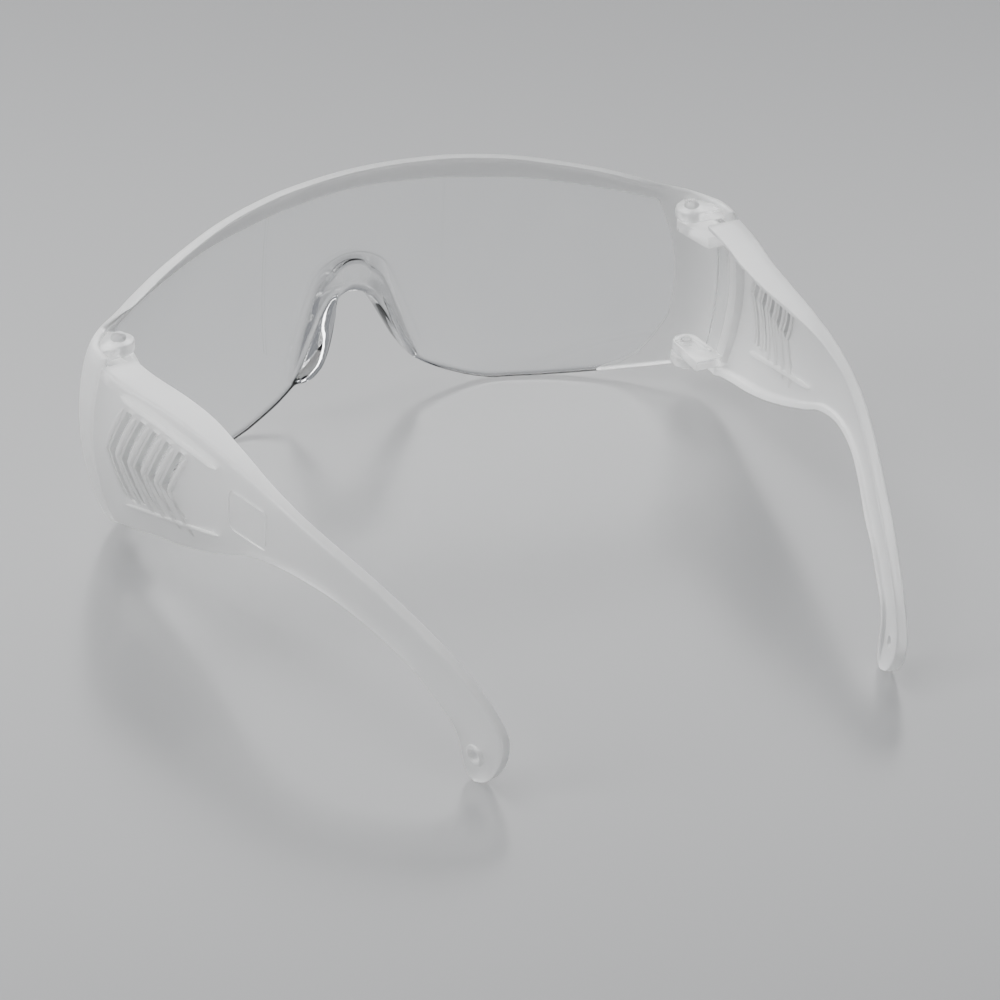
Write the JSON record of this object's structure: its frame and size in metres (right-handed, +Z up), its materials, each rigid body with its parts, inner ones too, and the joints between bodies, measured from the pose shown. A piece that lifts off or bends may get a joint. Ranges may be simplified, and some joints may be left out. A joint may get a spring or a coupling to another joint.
{
  "type": "safety glasses",
  "caption": "Wraparound clear safety glasses with a one-piece shield, moulded nose rim and folding louvred side temples.",
  "frame": {"origin": "centre of the open glasses' bounding box, on the table they stand on", "axes": "+X towards the wearer's left, -Y the way the wearer looks, +Y towards the temple tips, +Z up; the hinge axes are upright"},
  "size_m": [0.1678, 0.1728, 0.062],
  "materials": {
    "clear_polycarbonate": "clear, glossy, moulded; frosted on the brow band and the sides",
    "frosted_polycarbonate": "translucent, fine satin frost, moulded"
  },
  "bodies": {
    "front": {"shield": "clear_polycarbonate", "hinge_pin_left_upper": "clear_polycarbonate", "hinge_pin_left_lower": "clear_polycarbonate", "hinge_pin_right_upper": "clear_polycarbonate", "hinge_pin_right_lower": "clear_polycarbonate"},
    "left_temple": {"temple_left": "frosted_polycarbonate"},
    "right_temple": {"temple_right": "frosted_polycarbonate"}
  },
  "joints": [
    {"name": "left_fold", "type": "hinge", "parent": "front", "child": "left_temple", "pos_m": [0.07333, -0.05316, 0.0271], "axis": [0, 0, 1], "range_deg": [0, 82]},
    {"name": "right_fold", "type": "hinge", "parent": "front", "child": "right_temple", "pos_m": [-0.07333, -0.05316, 0.0271], "axis": [0, 0, -1], "range_deg": [0, 73]}
  ]
}
